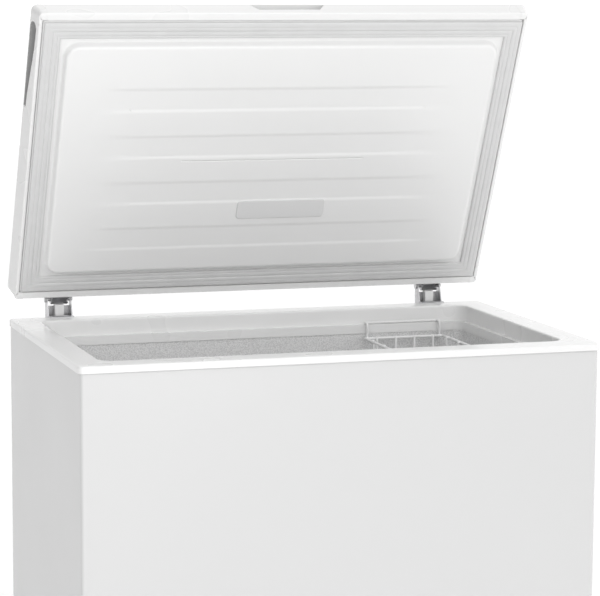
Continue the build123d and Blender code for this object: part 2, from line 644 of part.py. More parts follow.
for side, x in HINGE_SIDES.items():
    with BuildPart() as hinge_base:
        cheek_outline = [
            (BACK, CHANNEL_FOOT),
            (CHANNEL_BACK, CHANNEL_FOOT),
            (CHANNEL_BACK, HINGE_Z),
            (HINGE_Y - KNUCKLE, HINGE_Z),
            (BACK, CABINET_HEIGHT - 2),
        ]
        knuckle_plate(x - CHANNEL_HALF, cheek_outline)
        knuckle_plate(x + CHANNEL_HALF - CHEEK, cheek_outline)
        block(
            (x - CHANNEL_HALF, CHANNEL_BACK - CHEEK, CHANNEL_FOOT),
            (x + CHANNEL_HALF, CHANNEL_BACK, HINGE_Z - 14),
        )
        block(
            (x - CHANNEL_HALF, BACK, CHANNEL_FOOT),
            (x + CHANNEL_HALF, CHANNEL_BACK, CHANNEL_FOOT + CHEEK),
        )
        for low in (x - 43, x + CHANNEL_HALF):
            block((low, BACK, CHANNEL_FOOT + 15), (low + 18, BACK + CHEEK, RIM_UNDER - 2))
        near = [spot for spot in HINGE_SCREW_SPOTS if abs(spot[0] - x) < 50]
        front_rod(near, 2.6, BACK + CHEEK, BACK, Mode.SUBTRACT)
        pin_hole(x, CHANNEL_HALF, PIN_RADIUS)
    finish(hinge_base.part, f"hinge_base_{side}")

    with BuildPart() as hinge_plunger:
        block((x - 9, SPRING_Y - 8, PLUNGER_LOW), (x + 9, SPRING_Y + 8, PLUNGER_TOP))
        fillet(hinge_plunger.edges().filter_by(Axis.X), radius=1.5)
        with Locations((x, SPRING_Y, PLUNGER_LOW)):
            Cylinder(4, 60, align=(Align.CENTER, Align.CENTER, Align.MAX))
    finish(hinge_plunger.part, f"hinge_plunger_{side}")

    with BuildPart() as hinge_arm:
        arm_top = LID_TOP - 6
        block((x - 17, BACK, LID_UNDER + 4), (x + 17, BACK + CHEEK, arm_top))
        arm_outline = [
            (BACK, LID_UNDER + 6),
            (BACK, arm_top),
            (HINGE_Y, arm_top),
            (HINGE_Y, HINGE_Z - KNUCKLE),
        ]
        knuckle_plate(x - 17, arm_outline)
        knuckle_plate(x + 17 - CHEEK, arm_outline)
        with BuildSketch(Plane.YZ.offset(x - 17)):
            with BuildLine():
                steps = [radians(LID_FULL) * step / 8 for step in range(9)]
                Spline(
                    *[
                        (
                            HINGE_Y + (CAM_HIGH - CAM_FALL * turn) * sin(turn),
                            HINGE_Z - (CAM_HIGH - CAM_FALL * turn) * cos(turn),
                        )
                        for turn in steps
                    ]
                )
                last = CAM_HIGH - CAM_FALL * radians(LID_FULL)
                Polyline(
                    (
                        HINGE_Y + last * sin(radians(LID_FULL)),
                        HINGE_Z - last * cos(radians(LID_FULL)),
                    ),
                    (HINGE_Y, HINGE_Z + 5),
                    (HINGE_Y - 7, HINGE_Z),
                    (HINGE_Y, HINGE_Z - CAM_HIGH),
                )
            make_face()
        extrude(amount=34)
        pin_hole(x, CHANNEL_HALF, PIN_RADIUS + RUNNING)
        arm_screws = [(x + dx, HINGE_Z + dz) for dx in (-8, 8) for dz in (-16, 4)]
        front_rod(arm_screws, 2.1, BACK + CHEEK, BACK, Mode.SUBTRACT)
    finish(hinge_arm.part, f"hinge_arm_{side}", -LID_OPEN)

with BuildPart() as hinge_pins:
    for x in HINGE_SIDES.values():
        for radius, length in ((PIN_RADIUS, 2 * CHANNEL_HALF + 6), (PIN_RADIUS + 2.5, 3)):
            with BuildSketch(Plane.YZ.offset(x - CHANNEL_HALF - 3)):
                with Locations((HINGE_Y, HINGE_Z)):
                    Circle(radius)
            extrude(amount=length)
finish(hinge_pins.part, "hinge_pins")


def coil_spring(x):
    """A compression spring between the channel's foot and the plunger."""
    low = SPRING_LOW + SPRING_WIRE + 0.1
    length = PLUNGER_LOW - SPRING_LOW - 2 * SPRING_WIRE - 0.2
    with BuildPart() as spring:
        with BuildLine() as coil:
            Helix(8, length, SPRING_RADIUS, center=(x, SPRING_Y, low))
        with BuildSketch(Plane(coil.line @ 0, z_dir=coil.line % 0)):
            Circle(SPRING_WIRE)
        sweep(path=coil.line, is_frenet=True)
    return spring.part


springs = [coil_spring(x) for x in HINGE_SIDES.values()]
with BuildPart() as hinge_springs:
    add(springs)
finish(hinge_springs.part, "hinge_springs")

HINGE_BASE_SCREWS = rear_screws(HINGE_SCREW_SPOTS, BACK + CHEEK, 2.5, HINGE_SCREW_LENGTH)
finish(HINGE_BASE_SCREWS, "hinge_base_screws")
ARM_SCREW_SPOTS = [
    (centre + dx, HINGE_Z + dz)
    for centre in HINGE_SIDES.values()
    for dx in (-8, 8)
    for dz in (-16, 4)
]
ARM_SCREWS = rear_screws(ARM_SCREW_SPOTS, BACK + CHEEK, 2.0, 9)
finish(ARM_SCREWS, "hinge_arm_screws", -LID_OPEN)

# ==== lid edge mouldings ====
CAP_LEG = 24.0
SEAM = 0.2
SCOOP = (150.0, 18.0, 23.0)  # width, depth and height of the front handle recess
GRIP = (180.0, 10.0, 20.0)  # the same for the grip in each side
GRIP_Y = LID_FRONT + 28 + GRIP[0] / 2

with BuildPart() as lid_edge:
    ring(LID_UNDER, LID_THICKNESS, LID, inset(LID, PLASTIC), LID_Y)
    ring(LID_UNDER, PLASTIC, LID, inset(LID, BORDER), LID_Y)
    ring(LID_UNDER, 7.9, inset(LID, BORDER - PLASTIC), inset(LID, BORDER), LID_Y)
    ring(SEAT_Z + 2, PLASTIC, inset(LID, BORDER - PLASTIC), inset(LID, CAP_LEG), LID_Y)
    ring(LID_TOP - PLASTIC, PLASTIC, LID, inset(LID, 10), LID_Y)
    fillet(lid_edge.faces().sort_by(Axis.Z)[-1].outer_wire().edges(), radius=5)
    fillet(lid_edge.faces().sort_by(Axis.Z)[0].outer_wire().edges(), radius=3)

HALF_X = LID_WIDTH / 2
LID_REAR = LID_Y + LID_DEPTH / 2
RUN_X = HALF_X - CAP_LEG - SEAM
RUN_FRONT = LID_FRONT + CAP_LEG + SEAM
RUN_REAR = LID_REAR - CAP_LEG - SEAM
LOW_Z = LID_UNDER - 5
HIGH_Z = LID_TOP + 5
POCKET_LOW = LID_TOP - 3.6 - SCOOP[2]

with BuildPart() as lid_front_rail:
    add(lid_edge.part)
    block((-RUN_X, LID_FRONT - 5, LOW_Z), (RUN_X, LID_FRONT + 40, HIGH_Z), Mode.INTERSECT)
    block(
        (-SCOOP[0] / 2 - 3, LID_FRONT + 2, POCKET_LOW - 2),
        (SCOOP[0] / 2 + 3, LID_FRONT + SCOOP[1] + PLASTIC, LID_TOP - 3.6),
    )
    with BuildSketch(Plane.XZ.offset(-LID_FRONT)):
        with BuildLine():
            Polyline(
                (-SCOOP[0] / 2, LID_TOP - 5.6),
                (SCOOP[0] / 2, LID_TOP - 5.6),
                (SCOOP[0] / 2 - 14, POCKET_LOW),
                (-SCOOP[0] / 2 + 14, POCKET_LOW),
                close=True,
            )
        make_face()
    extrude(amount=-SCOOP[1], mode=Mode.SUBTRACT)
finish(lid_front_rail.part, "lid_front_rail", -LID_OPEN)

with BuildPart() as lid_rear_rail:
    add(lid_edge.part)
    block((-RUN_X, LID_REAR - 40, LOW_Z), (RUN_X, LID_REAR + 5, HIGH_Z), Mode.INTERSECT)
    front_rod(ARM_SCREW_SPOTS, 2.05, LID_REAR, LID_REAR - PLASTIC, Mode.SUBTRACT)
finish(lid_rear_rail.part, "lid_rear_rail", -LID_OPEN)

for side, sign in (("left", -1), ("right", 1)):
    outer, inner = sign * (HALF_X + 5), sign * (HALF_X - 40)
    with BuildPart() as lid_side_rail:
        add(lid_edge.part)
        block(
            (min(outer, inner), RUN_FRONT, LOW_Z),
            (max(outer, inner), RUN_REAR, HIGH_Z),
            Mode.INTERSECT,
        )
        wall, back = sign * (HALF_X - 2), sign * (HALF_X - GRIP[1] - PLASTIC)
        block(
            (min(wall, back), GRIP_Y - GRIP[0] / 2 - 3, LID_UNDER + 9),
            (max(wall, back), GRIP_Y + GRIP[0] / 2 + 3, LID_UNDER + 13 + GRIP[2]),
        )
        with BuildSketch(Plane.YZ.offset(sign * HALF_X)):
            with BuildLine():
                middle_z = LID_UNDER + 11 + GRIP[2] / 2
                ThreePointArc(
                    (GRIP_Y - GRIP[0] / 2 + 10, middle_z + GRIP[2] / 2),
                    (GRIP_Y - GRIP[0] / 2, middle_z),
                    (GRIP_Y - GRIP[0] / 2 + 10, middle_z - GRIP[2] / 2),
                )
                Polyline(
                    (GRIP_Y - GRIP[0] / 2 + 10, middle_z - GRIP[2] / 2),
                    (GRIP_Y + GRIP[0] / 2, middle_z + GRIP[2] / 2 - 3),
                    (GRIP_Y + GRIP[0] / 2, middle_z + GRIP[2] / 2),
                    (GRIP_Y - GRIP[0] / 2 + 10, middle_z + GRIP[2] / 2),
                )
            make_face()
        extrude(amount=-sign * GRIP[1], mode=Mode.SUBTRACT)
    finish(lid_side_rail.part, f"lid_{side}_rail", -LID_OPEN)

with BuildPart() as lid_corner_caps:
    add(lid_edge.part)
    cut_x, cut_front, cut_rear = RUN_X + SEAM, RUN_FRONT - SEAM, RUN_REAR + SEAM
    block((-cut_x, LID_FRONT - 5, LOW_Z), (cut_x, LID_REAR + 5, HIGH_Z), Mode.SUBTRACT)
    block((-HALF_X - 5, cut_front, LOW_Z), (HALF_X + 5, cut_rear, HIGH_Z), Mode.SUBTRACT)
finish(lid_corner_caps.part, "lid_corner_caps", -LID_OPEN)

# ==== lid panels, seal and foam ====
BAND_LENGTH = 730.0
BAND_WIDTH = 46.0
BAND_DEPTH = 2.5
BAND_SPOTS = [LID_FRONT + 178 + 102 * band for band in range(4)]
DRAFT = 18.4
PLATEAU = (*inset(LID, PLATEAU_INSET)[:2], PLATEAU_CORNER)
LINER = 2.0

with BuildPart() as lid_skin:
    slab(SKIN_Z, SHEET, inset(LID, PLASTIC + 0.5), LID_Y)
finish(lid_skin.part, "lid_skin", -LID_OPEN)

with BuildPart() as lid_liner:
    slab(SEAT_Z, LINER, inset(LID, 16), LID_Y)
    with BuildSketch(Plane.XY.offset(SEAT_Z)):
        with Locations((0, LID_Y)):
            RectangleRounded(*PLATEAU)
    extrude(amount=-PLATEAU_RISE, taper=DRAFT)
    fillet(lid_liner.faces().sort_by(Axis.Z)[0].edges(), radius=3)
    with BuildSketch(Plane.XY.offset(SEAT_Z + LINER)):
        with Locations((0, LID_Y)):
            RectangleRounded(*inset(PLATEAU, LINER))
    extrude(amount=-PLATEAU_RISE, taper=DRAFT, mode=Mode.SUBTRACT)
    with BuildSketch(Plane.XY.offset(PLATEAU_Z + LINER)):
        with Locations(*[(0, y) for y in BAND_SPOTS]):
            SlotOverall(BAND_LENGTH + 4, BAND_WIDTH + 4)
    extrude(amount=BAND_DEPTH)
    with BuildSketch(Plane.XY.offset(PLATEAU_Z)):
        with Locations(*[(0, y) for y in BAND_SPOTS]):
            SlotOverall(BAND_LENGTH, BAND_WIDTH)
    extrude(amount=BAND_DEPTH, mode=Mode.SUBTRACT)
    with BuildSketch(Plane.XY.offset(PLATEAU_Z)):
        with Locations(LAMP_AT):
            Rectangle(LAMP_SIZE[0] - 8, LAMP_SIZE[1] - 8)
    extrude(amount=LINER + BAND_DEPTH, mode=Mode.SUBTRACT)
finish(lid_liner.part, "lid_liner", -LID_OPEN)

GASKET_LOW = CABINET_HEIGHT + 0.4
GASKET_OUTER = (*inset(LID, GASKET_INSET)[:2], 1.0)
with BuildPart() as lid_gasket:
    ring(GASKET_LOW, SEAT_Z - GASKET_LOW, GASKET_OUTER, inset(GASKET_OUTER, GASKET_WIDTH), LID_Y)
    for margin, width in ((6, 2), (15, 2), (24, 2)):
        with BuildSketch(Plane.XY.offset(GASKET_LOW)):
            with Locations((0, LID_Y)):
                RectangleRounded(*inset(GASKET_OUTER, margin))
                RectangleRounded(*inset(GASKET_OUTER, margin + width), mode=Mode.SUBTRACT)
        extrude(amount=1.5, mode=Mode.SUBTRACT)
finish(lid_gasket.part, "lid_gasket", -LID_OPEN)

HOUSING = (LAMP_SIZE[0] + 2, LAMP_SIZE[1] - 3, 3.0)
HOUSING_LOW = PLATEAU_Z + LINER + BAND_DEPTH + 0.3
HOUSING_TOP = HOUSING_LOW + 26
with BuildPart() as lid_foam:
    slab(SEAT_Z + LINER + 3, SKIN_Z - SEAT_Z - LINER - 3, inset(LID, 31), LID_Y)
    slab(HOUSING_LOW, SEAT_Z + LINER + 3 - HOUSING_LOW, inset(PLATEAU, 12), LID_Y)
    block(
        (LAMP_AT[0] - HOUSING[0] / 2 - 1, LAMP_AT[1] - HOUSING[1] / 2 - 1, HOUSING_LOW),
        (LAMP_AT[0] + HOUSING[0] / 2 + 1, LAMP_AT[1] + HOUSING[1] / 2 + 1, HOUSING_TOP + 0.2),
        Mode.SUBTRACT,
    )
finish(lid_foam.part, "lid_foam", -LID_OPEN)

with BuildPart() as lamp_housing:
    for z, outline, mode in (
        (HOUSING_LOW, HOUSING, Mode.ADD),
        (HOUSING_LOW - 1.5, inset(HOUSING, 1.5), Mode.SUBTRACT),
    ):
        with BuildSketch(Plane.XY.offset(z)):
            with Locations(LAMP_AT):
                RectangleRounded(*outline)
        extrude(amount=HOUSING_TOP - HOUSING_LOW, mode=mode)
finish(lamp_housing.part, "lamp_housing", -LID_OPEN)

with BuildPart() as lamp_board:
    with BuildSketch(Plane.XY.offset(HOUSING_TOP - 1.5)):
        with Locations(LAMP_AT):
            Rectangle(150, 22)
    extrude(amount=-1.6)
    with BuildSketch(Plane.XY.offset(HOUSING_TOP - 3.1)):
        with Locations(LAMP_AT):
            with GridLocations(26, 0, 5, 1):
                Rectangle(5, 5)
    extrude(amount=-1.2)
finish(lamp_board.part, "lamp_board", -LID_OPEN)

with BuildPart() as tilt_switch:
    block(
        (LAMP_AT[0] + 76.5, LAMP_AT[1] - 6, HOUSING_TOP - 9),
        (LAMP_AT[0] + 88, LAMP_AT[1] + 6, HOUSING_TOP - 1.5),
    )
    fillet(tilt_switch.edges().filter_by(Axis.Y), radius=2)
finish(tilt_switch.part, "tilt_switch", -LID_OPEN)

LENS_LOW = PLATEAU_Z - 3.5
with BuildPart() as lamp_lens:
    with BuildSketch(Plane.XY.offset(LENS_LOW)):
        with Locations(LAMP_AT):
            RectangleRounded(*LAMP_SIZE)
    extrude(amount=PLATEAU_Z - LENS_LOW)
    fillet(lamp_lens.faces().sort_by(Axis.Z)[0].edges(), radius=2)
    for inner, mode in ((0.3, Mode.ADD), (2.0, Mode.SUBTRACT)):
        with BuildSketch(Plane.XY.offset(PLATEAU_Z)):
            with Locations(LAMP_AT):
                Rectangle(LAMP_SIZE[0] - 8 - 2 * inner, LAMP_SIZE[1] - 8 - 2 * inner)
        extrude(amount=3, mode=mode)
finish(lamp_lens.part, "lamp_lens", -LID_OPEN)

# ==== basket ====
FRAME_Z = LEDGE_Z - BASKET_DROP
FRAME_X = BASKET_WIDTH / 2 - FRAME_WIRE
FRAME_Y = BASKET_DEPTH / 2 - FRAME_WIRE
BASKET_FLOOR = FRAME_Z - BASKET_HEIGHT + WIRE
INNER = FRAME_WIRE + WIRE - WELD
CROSS_X = [BASKET_X + offset for offset in (-61.5, -20.5, 20.5, 61.5)]
LONG_Y = [66 * number for number in range(-3, 4)]
HANGER_TOP = LEDGE_Z + WIRE + 0.3
HANGER_Y = CAVITY[1] / 2 + 2.5


def wire_loop(z, half_x, half_y, corner, radius):
    """A closed rounded rectangle of wire at a height, centred on the basket."""
    x_low, x_high = BASKET_X - half_x, BASKET_X + half_x
    with BuildLine() as path:
        Line((x_low + corner, -half_y, z), (x_high - corner, -half_y, z))
        TangentArc((x_high - corner, -half_y, z), (x_high, -half_y + corner, z), tangent=(1, 0, 0))
        Line((x_high, -half_y + corner, z), (x_high, half_y - corner, z))
        TangentArc((x_high, half_y - corner, z), (x_high - corner, half_y, z), tangent=(0, 1, 0))
        Line((x_high - corner, half_y, z), (x_low + corner, half_y, z))
        TangentArc((x_low + corner, half_y, z), (x_low, half_y - corner, z), tangent=(-1, 0, 0))
        Line((x_low, half_y - corner, z), (x_low, -half_y + corner, z))
        TangentArc((x_low, -half_y + corner, z), (x_low + corner, -half_y, z), tangent=(0, -1, 0))
    with BuildSketch(Plane((x_low + corner, -half_y, z), z_dir=(1, 0, 0))) as section:
        Circle(radius)
    sweep(section.sketch, path=path.wire())


with BuildPart() as basket_frame:
    wire_loop(FRAME_Z, FRAME_X, FRAME_Y, 5, FRAME_WIRE)
finish(basket_frame.part, "basket_frame")

def bent_wires(routes, bends):
    """Several separate wires of the basket, each bent along its own route."""
    wires = [tube(route, bends, WIRE) for route in routes]
    with BuildPart() as group:
        add(wires)
    return group.part


reach_y = FRAME_Y - INNER
cross_routes = [
    [
        (x, -reach_y, FRAME_Z + 2),
        (x, -reach_y, BASKET_FLOOR),
        (x, reach_y, BASKET_FLOOR),
        (x, reach_y, FRAME_Z + 2),
    ]
    for x in CROSS_X
]
finish(bent_wires(cross_routes, 14), "basket_cross_wires")

low_x, high_x = BASKET_X - FRAME_X + INNER, BASKET_X + FRAME_X - INNER
LONG_Z = BASKET_FLOOR + 2 * WIRE - WELD
long_routes = [
    [(low_x, y, FRAME_Z + 2), (low_x, y, LONG_Z), (high_x, y, LONG_Z), (high_x, y, FRAME_Z + 2)]
    for y in LONG_Y
]
finish(bent_wires(long_routes, 12), "basket_long_wires")

with BuildPart() as basket_hoop:
    step = 2 * WIRE - WELD
    wire_loop(FRAME_Z - 100, FRAME_X - INNER + step, FRAME_Y - INNER + step, 12, WIRE)
finish(basket_hoop.part, "basket_hoop")

hanger_routes = []
for sign in (-1, 1):
    inner_y, outer_y = sign * (FRAME_Y + INNER), sign * HANGER_Y
    left, right = BASKET_X - FRAME_X + 6, BASKET_X + FRAME_X - 6
    rise = [(left, inner_y, FRAME_Z - 4), (left, inner_y, HANGER_TOP), (left, outer_y, HANGER_TOP)]
    fall = [(right, y, z) for x, y, z in rise[::-1]]
    hanger_routes.append(rise + fall)
finish(bent_wires(hanger_routes, 6), "basket_hangers")
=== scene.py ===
import json

import bmesh
import bpy
from math import cos, pi, radians, sin
from mathutils import Matrix, Vector


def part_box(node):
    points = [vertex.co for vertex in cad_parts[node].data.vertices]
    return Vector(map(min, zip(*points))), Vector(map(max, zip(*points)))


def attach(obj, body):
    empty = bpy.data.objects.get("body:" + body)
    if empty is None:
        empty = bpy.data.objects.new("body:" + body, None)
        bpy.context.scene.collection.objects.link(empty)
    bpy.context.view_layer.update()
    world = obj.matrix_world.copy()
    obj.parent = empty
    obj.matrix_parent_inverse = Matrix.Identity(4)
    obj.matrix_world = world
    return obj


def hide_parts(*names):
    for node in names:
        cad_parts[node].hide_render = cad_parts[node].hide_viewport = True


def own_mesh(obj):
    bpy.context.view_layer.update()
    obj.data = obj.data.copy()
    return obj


# The looks of a chest freezer with its lid held open. Sizes in this file are in
# millimetres in the CAD frame, and become metres where a mesh is made.

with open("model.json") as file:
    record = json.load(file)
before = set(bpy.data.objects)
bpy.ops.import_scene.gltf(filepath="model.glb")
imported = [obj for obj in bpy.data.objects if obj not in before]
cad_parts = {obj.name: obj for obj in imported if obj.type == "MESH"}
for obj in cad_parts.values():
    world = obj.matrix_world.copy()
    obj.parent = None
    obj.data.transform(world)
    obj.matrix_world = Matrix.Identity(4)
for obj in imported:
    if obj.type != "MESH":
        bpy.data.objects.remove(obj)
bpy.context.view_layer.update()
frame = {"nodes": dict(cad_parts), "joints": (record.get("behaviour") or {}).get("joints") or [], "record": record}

MM = 0.001
record = frame["record"]
joints = {joint["name"]: joint for joint in frame["joints"]}
SLOT_OF = {part["node"]: part["material_slot"] for part in record["subparts"]}
RANGE_SOCKETS = ("From Min", "From Max", "To Min", "To Max")


# ---- node helpers ----
class Shader:
    """A principled material with procedural detail in object space."""

    def __init__(self, name, base, roughness, metallic=0.0, **sockets):
        self.material = bpy.data.materials.new(name)
        self.material.use_nodes = True
        self.tree = self.material.node_tree
        self.bsdf = self.tree.nodes["Principled BSDF"]
        self.base = base
        self.roughness = roughness
        self.set("Base Color", (*base, 1.0))
        self.set("Roughness", roughness)
        self.set("Metallic", metallic)
        for socket, value in sockets.items():
            self.set(socket.replace("_", " "), value)
        self.coords = self.node("ShaderNodeTexCoord").outputs["Object"]
        self.normal = None
        self.material.diffuse_color = (*base, 1.0)

    def set(self, socket, value):
        self.bsdf.inputs[socket].default_value = value

    def node(self, kind, **values):
        made = self.tree.nodes.new(kind)
        for key, value in values.items():
            setattr(made, key, value)
        return made

    def link(self, source, target):
        self.tree.links.new(source, target)

    def stretched(self, stretch):
        mapping = self.node("ShaderNodeMapping")
        mapping.inputs["Scale"].default_value = stretch
        self.link(self.coords, mapping.inputs["Vector"])
        return mapping.outputs["Vector"]

    def noise(self, scale, detail=2.0, stretch=(1, 1, 1), rough=0.5):
        made = self.node("ShaderNodeTexNoise")
        made.inputs["Scale"].default_value = scale
        made.inputs["Detail"].default_value = detail
        made.inputs["Roughness"].default_value = rough
        self.link(self.stretched(stretch), made.inputs["Vector"])
        return made.outputs["Fac"]

    def cells(self, scale, stretch=(1, 1, 1), feature="SMOOTH_F1"):
        made = self.node("ShaderNodeTexVoronoi", feature=feature)
        made.inputs["Scale"].default_value = scale
        self.link(self.stretched(stretch), made.inputs["Vector"])
        return made.outputs["Distance"]

    def remap(self, value, source, target):
        made = self.node("ShaderNodeMapRange")
        for key, number in zip(RANGE_SOCKETS, (*source, *target)):
            made.inputs[key].default_value = number
        self.link(value, made.inputs["Value"])
        return made.outputs["Result"]

    def tint(self, value, low, high, spread=(0.35, 0.65)):
        """Colour that drifts between low and high times the base colour."""
        ramp = self.node("ShaderNodeValToRGB")
        for element, place, share in zip(ramp.color_ramp.elements, spread, (low, high)):
            element.position = place
            element.color = (*[min(channel * share, 1.0) for channel in self.base], 1.0)
        self.link(value, ramp.inputs["Fac"])
        self.link(ramp.outputs["Color"], self.bsdf.inputs["Base Color"])

    def vary_roughness(self, value, spread, source=(0.3, 0.7)):
        target = (self.roughness - spread, self.roughness + spread)
        self.link(self.remap(value, source, target), self.bsdf.inputs["Roughness"])

    def bump(self, height, distance, strength=1.0):
        made = self.node("ShaderNodeBump")
        made.inputs["Distance"].default_value = distance
        made.inputs["Strength"].default_value = strength
        self.link(height, made.inputs["Height"])
        if self.normal is not None:
            self.link(self.normal, made.inputs["Normal"])
        self.normal = made.outputs["Normal"]
        self.link(self.normal, self.bsdf.inputs["Normal"])


def powder_paint(name, base, roughness):
    """Baked enamel on sheet steel: faint orange peel, and roughness that drifts a little."""
    made = Shader(name, base, roughness, Coat_Weight=0.25, Coat_Roughness=0.12)
    made.tint(made.noise(2.2, 1), 0.993, 1.005)
    made.vary_roughness(made.noise(6, 2), 0.02)
    made.bump(made.noise(520, 1), 0.0001, 0.12)
    return made


def moulded(name, base, roughness, grain=700, depth=0.00012, **sockets):
    """Moulded plastic: a fine texture off the tool, with flow marks in gloss and tint."""
    made = Shader(name, base, roughness, **sockets)
    made.tint(made.noise(3.5, 2), 0.994, 1.004)
    made.vary_roughness(made.noise(8, 1), 0.012)
    made.bump(made.noise(grain, 2), depth, 0.2)
    return made


def sheet_metal(name, base, roughness, grain, depth=0.00015, metallic=1.0):
    """Plated or drawn metal, with grain along one direction and a mottled surface."""
    made = Shader(name, base, roughness, metallic)
    made.tint(made.noise(55, 5, rough=0.65), 0.86, 1.08)
    made.vary_roughness(made.noise(34, 5), 0.1)
    made.bump(made.noise(300, 4, grain), depth, 0.5)
    return made


def stucco(name, base, roughness):
    """Aluminium sheet rolled with an irregular raised pattern a few millimetres across."""
    made = Shader(name, base, roughness, 0.35)
    pebbles = made.cells(430)
    grit = made.noise(560, 2, rough=0.6)
    mixed = made.node("ShaderNodeMath", operation="MULTIPLY_ADD")
    made.link(grit, mixed.inputs[0])
    mixed.inputs[1].default_value = 0.7
    made.link(pebbles, mixed.inputs[2])
    made.tint(mixed.outputs[0], 1.1, 0.8, (0.4, 1.0))
    made.vary_roughness(grit, 0.09)
    made.bump(mixed.outputs[0], 0.0006, 0.5)
    return made


def rubber(name, base, roughness):
    made = Shader(name, base, roughness, Sheen_Weight=0.15)
    made.tint(made.noise(30, 3), 0.98, 1.01)
    made.vary_roughness(made.noise(80, 2), 0.03)
    made.bump(made.noise(900, 2), 0.00006, 0.25)
    return made


def foam_stuff(name, base):
    made = Shader(name, base, 0.9)
    made.tint(made.noise(120, 6, rough=0.7), 0.82, 1.08)
    made.bump(made.cells(700), 0.0006, 0.7)
    return made


SHADERS = {
    "painted_white": powder_paint("painted_white", (0.64, 0.64, 0.64), 0.3),
    "galvanised": sheet_metal("galvanised", (0.60, 0.61, 0.62), 0.42, (1, 1, 1)),
    "white_plastic": moulded("white_plastic", (0.82, 0.82, 0.817), 0.28, Coat_Weight=0.2),
    "white_liner": moulded("white_liner", (0.81, 0.81, 0.807), 0.3, Coat_Weight=0.1),
    "embossed_aluminium": stucco("embossed_aluminium", (0.88, 0.88, 0.88), 0.42),
    "aluminium_tube": sheet_metal("aluminium_tube", (0.72, 0.72, 0.73), 0.35, (6, 1, 6)),
    "copper": sheet_metal("copper", (0.66, 0.34, 0.22), 0.3, (1, 1, 5)),
    "foam": foam_stuff("foam", (0.72, 0.60, 0.34)),
    "grey_seal": rubber("grey_seal", (0.64, 0.64, 0.64), 0.5),
    "black_rubber": rubber("black_rubber", (0.028, 0.028, 0.028), 0.75),
    "black_plastic": moulded("black_plastic", (0.03, 0.03, 0.032), 0.45),
    "black_paint": powder_paint("black_paint", (0.018, 0.018, 0.019), 0.32),
    "zinc_steel": sheet_metal("zinc_steel", (0.56, 0.56, 0.57), 0.34, (1, 1, 9)),
    "spring_steel": sheet_metal("spring_steel", (0.30, 0.30, 0.31), 0.35, (5, 5, 1)),
    "circuit_board": moulded("circuit_board", (0.03, 0.16, 0.06), 0.4, 260),
    "lamp_diffuser": moulded("lamp_diffuser", (0.72, 0.72, 0.72), 0.38, 520, 0.0002),
    "green_lens": moulded("green_lens", (0.04, 0.34, 0.09), 0.18, Coat_Weight=0.6),
    # painted shade: dark grey for the grip recess's faces, standing in for the shadow inside it
    "recess": moulded("recess", (0.30, 0.30, 0.30), 0.6),
    "coated_wire": moulded("coated_wire", (0.82, 0.82, 0.82), 0.3, 380, 0.0003, Coat_Weight=0.3),
}


# ---- mesh helpers ----
def metres(point):
    return Vector(point) * MM


LID_HINGE = metres([value / MM for value in joints["lid_hinge"]["pos_m"]])
LID_ANGLE = radians(joints["lid_hinge"]["range_deg"][0])
OPENED = (
    Matrix.Translation(LID_HINGE)
    @ Matrix.Rotation(LID_ANGLE, 4, "X")
    @ Matrix.Translation(-LID_HINGE)
)


def piece(name, verts, faces, slot, body, nodes=(), turn=None, angle=32.0):
    """A finished mesh piece from points in millimetres, on its body and in its slot."""
    mesh = bpy.data.meshes.new(name)
    mesh.from_pydata([metres(vert) for vert in verts], [], faces)
    if turn is not None:
        mesh.transform(turn)
    work = bmesh.new()
    work.from_mesh(mesh)
    bmesh.ops.remove_doubles(work, verts=work.verts, dist=0.000002)
    bmesh.ops.recalc_face_normals(work, faces=work.faces)
    work.to_mesh(mesh)
    work.free()
    mesh.shade_smooth()
    mesh.set_sharp_from_angle(angle=radians(angle))
    made = bpy.data.objects.new(name, mesh)
    bpy.context.scene.collection.objects.link(made)
    made.data.materials.append(SHADERS[slot].material)
    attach(made, body)
    if nodes:
        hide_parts(*nodes)
    return made


def rounded_ring(width, depth, corner, centre_y=0.0, long_steps=96, short_steps=56, bend=10):
    """Points round a rounded rectangle, always the same number in the same order."""
    half_x, half_y = width / 2, depth / 2
    corner = min(corner, half_x, half_y)
    sides = [
        ((half_x, -half_y), (0, 1), short_steps),
        ((half_x, half_y), (-1, 0), long_steps),
        ((-half_x, half_y), (0, -1), short_steps),
        ((-half_x, -half_y), (1, 0), long_steps),
    ]
    points = []
    for number, ((x, y), (dx, dy), steps) in enumerate(sides):
        turn_x = x - corner if x > 0 else x + corner
        turn_y = y - corner if y > 0 else y + corner
        start = -pi / 2 + number * pi / 2
        for step in range(bend + 1):
            turn = start + step / bend * pi / 2
            points.append((turn_x + corner * cos(turn), centre_y + turn_y + corner * sin(turn)))
        run = 2 * (half_y if dy else half_x) - 2 * corner
        base_x, base_y = points[-1]
        for step in range(1, steps):
            along = run * step / steps
            points.append((base_x + dx * along, base_y + dy * along))
    return points


def loft(rings):
    """Vertices and faces over closed rings of equal length."""
    verts = [point for ring in rings for point in ring]
    size = len(rings[0])
    faces = []
    for row in range(len(rings) - 1):
        for step in range(size):
            after = (step + 1) % size
            low, high = row * size, (row + 1) * size
            faces.append((low + step, low + after, high + after, high + step))
    return verts, faces


def cap_ends(verts, faces, size):
    """Close the first and the last ring of a loft, each of size points."""
    faces.append(tuple(range(size))[::-1])
    faces.append(tuple(range(len(verts) - size, len(verts))))


def smooth_step(value, low, high):
    """0 up to low, 1 from high on, and an even curve between."""
    share = min(max((value - low) / (high - low), 0.0), 1.0)
    return share * share * (3 - 2 * share)


def add_mesh(store, verts, faces):
    base = len(store[0])
    store[0].extend(verts)
    store[1].extend([tuple(base + index for index in face) for face in faces])


